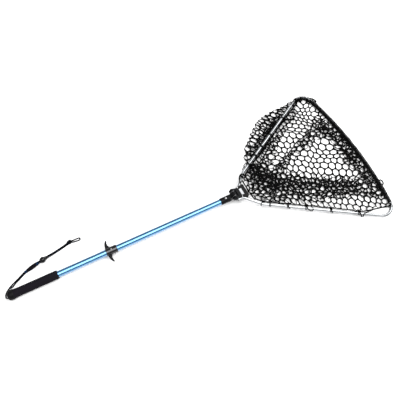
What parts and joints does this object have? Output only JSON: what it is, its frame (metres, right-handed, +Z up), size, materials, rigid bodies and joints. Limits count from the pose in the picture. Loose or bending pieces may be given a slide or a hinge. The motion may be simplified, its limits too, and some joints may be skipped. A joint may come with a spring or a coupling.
{
  "type": "folding landing net",
  "caption": "Folding landing net: round metal handle with a foam grip and wrist cord, a hinged yoke and a rigid triangular hoop carrying a shallow mesh bag.",
  "frame": {"origin": "on the floor, at the middle of the footprint of the net as it lies", "axes": "+X along the handle from butt to hoop, +Y towards the left arm of the hoop, +Z up"},
  "size_m": [1.293, 0.5694, 0.0544],
  "materials": {
    "anodised_tube": "satin light-blue anodised",
    "bare_aluminium": "satin",
    "steel": "satin",
    "black_steel": "blackened",
    "foam": "matte fine-celled foam",
    "cap_rubber": "satin rubber",
    "black_nylon": "fine grained moulded nylon",
    "gloss_black": "glossy",
    "badge": "plain light bar",
    "net_rubber": "rubber-coated mesh, semi-gloss",
    "net_cord": "rubber-coated cord",
    "wrist_cord": "braided, black with blue flecks",
    "cord_sleeve": "navy-blue weave",
    "bead": "glossy"
  },
  "bodies": {
    "handle": {"handle_tube": "anodised_tube", "butt_cap": "cap_rubber", "grip_sleeve": "foam", "tube_plug": "black_nylon", "hinge_ferrule": "black_nylon", "ferrule_rivet": "steel", "hinge_pin": "black_steel", "friction_washers": "steel", "hinge_nut": "black_steel", "cord_strand_a": "wrist_cord", "cord_strand_b": "wrist_cord", "cord_end_loop": "wrist_cord", "cord_bead": "bead", "cord_sleeve": "cord_sleeve", "cord_knot": "wrist_cord"},
    "liner": {"collar_liner": "black_nylon"},
    "collar": {"hook_collar": "gloss_black", "collar_screw": "steel"},
    "head": {"yoke_upper_shell": "black_nylon", "yoke_lower_shell": "black_nylon", "yoke_screws": "steel", "hoop_rivets": "steel", "yoke_badge": "badge", "hoop_tube": "bare_aluminium", "front_sleeve": "gloss_black", "net_rim_cord": "net_cord", "lacing_ties": "net_cord", "net_bag": "net_rubber"}
  },
  "joints": [
    {"name": "fold", "type": "hinge", "parent": "handle", "child": "head", "pos_m": [0.11454, 0, 0.04418], "axis": [0, -1, 0], "range_deg": [0, 184]},
    {"name": "collar_slide", "type": "slide", "parent": "handle", "child": "liner", "axis": [0.9998, 0, 0.0209], "range_m": [-0.148, 0.362]},
    {"name": "collar_turn", "type": "hinge", "parent": "liner", "child": "collar", "pos_m": [-0.31909, 0, 0.02209], "axis": [0.9998, 0, 0.0209], "range_deg": [-180, 180]}
  ]
}
